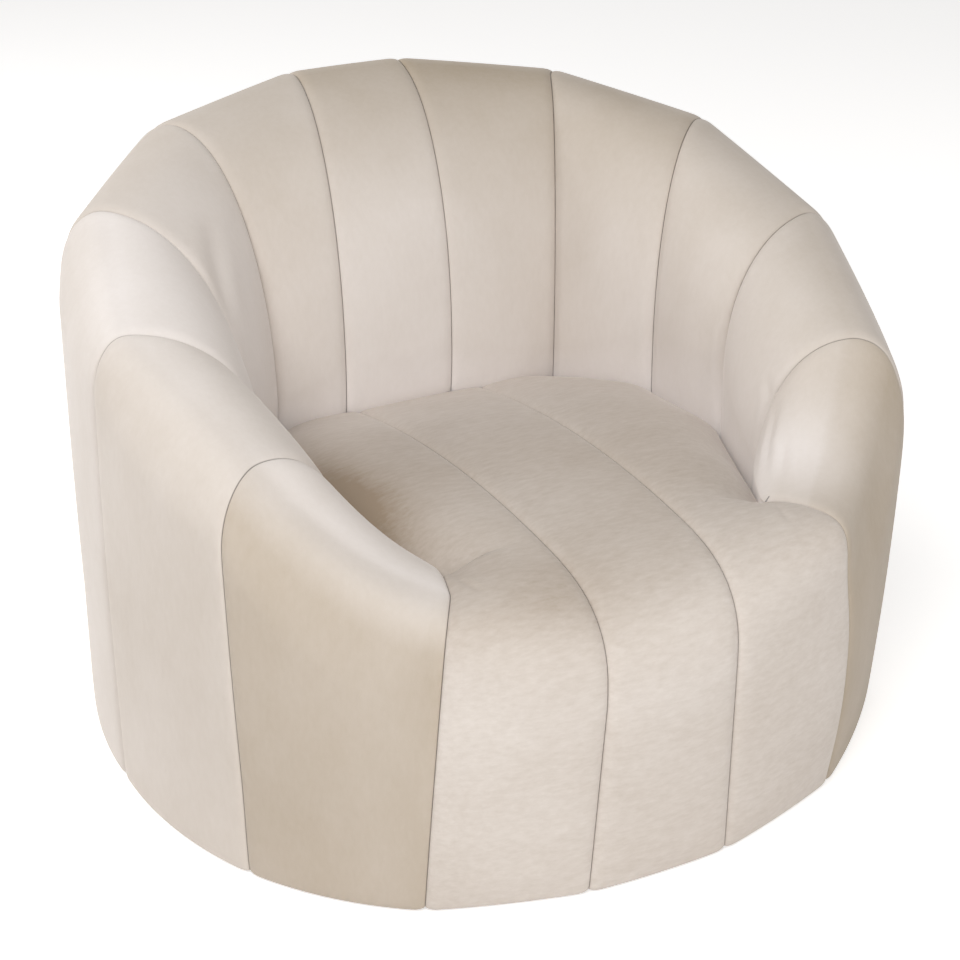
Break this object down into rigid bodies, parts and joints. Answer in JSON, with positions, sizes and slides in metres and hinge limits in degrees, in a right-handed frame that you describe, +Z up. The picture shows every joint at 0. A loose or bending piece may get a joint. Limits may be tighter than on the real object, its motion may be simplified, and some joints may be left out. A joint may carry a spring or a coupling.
{
  "type": "cuddle chair",
  "caption": "Wide round tub armchair with upright channels, sloping arms and a padded seat, upholstered in velvet down to the floor.",
  "frame": {"origin": "on the floor, under the middle of the chair's outer box", "axes": "+Z up, the sitter faces -Y, +X is on the right of someone who looks at the front"},
  "size_m": [1.033, 1.0136, 0.71],
  "materials": {
    "shell_velvet": "pale beige velvet with a soft sheen",
    "seat_velvet": "beige velvet with a soft sheen",
    "plywood": "raw",
    "spring_steel": "drawn wire",
    "felt": "needled felt",
    "dust_cloth": "non-woven cloth",
    "glide_plastic": "matt"
  },
  "bodies": {
    "root": {"arm_post_left": "plywood", "arm_post_right": "plywood", "base_board_front": "plywood", "base_board_left": "plywood", "base_board_rear": "plywood", "base_board_right": "plywood", "dust_cover": "dust_cloth", "front_board": "plywood", "glide_1": "glide_plastic", "glide_2": "glide_plastic", "glide_3": "glide_plastic", "glide_4": "glide_plastic", "inner_pad_back": "shell_velvet", "inner_pad_left_1": "shell_velvet", "inner_pad_left_2": "shell_velvet", "inner_pad_left_3": "shell_velvet", "inner_pad_left_4": "shell_velvet", "inner_pad_left_5": "shell_velvet", "inner_pad_right_1": "shell_velvet", "inner_pad_right_2": "shell_velvet", "inner_pad_right_3": "shell_velvet", "inner_pad_right_4": "shell_velvet", "inner_pad_right_5": "shell_velvet", "outer_panel_back": "shell_velvet", "outer_panel_left_1": "shell_velvet", "outer_panel_left_2": "shell_velvet", "outer_panel_left_3": "shell_velvet", "outer_panel_left_4": "shell_velvet", "outer_panel_left_5": "shell_velvet", "outer_panel_right_1": "shell_velvet", "outer_panel_right_2": "shell_velvet", "outer_panel_right_3": "shell_velvet", "outer_panel_right_4": "shell_velvet", "outer_panel_right_5": "shell_velvet", "rim_rail_back": "plywood", "rim_rail_left_1": "plywood", "rim_rail_left_2": "plywood", "rim_rail_left_3": "plywood", "rim_rail_right_1": "plywood", "rim_rail_right_2": "plywood", "rim_rail_right_3": "plywood", "seat_channel_centre": "seat_velvet", "seat_channel_left": "seat_velvet", "seat_channel_right": "seat_velvet", "seat_leg_left": "plywood", "seat_leg_right": "plywood", "seat_rail_left": "plywood", "seat_rail_rear": "plywood", "seat_rail_right": "plywood", "seat_spring_1": "spring_steel", "seat_spring_2": "spring_steel", "seat_spring_3": "spring_steel", "seat_spring_4": "spring_steel", "shell_rib_left_1": "plywood", "shell_rib_left_3": "plywood", "shell_rib_left_5": "plywood", "shell_rib_right_1": "plywood", "shell_rib_right_3": "plywood", "shell_rib_right_5": "plywood", "spring_felt": "felt"}
  },
  "joints": []
}
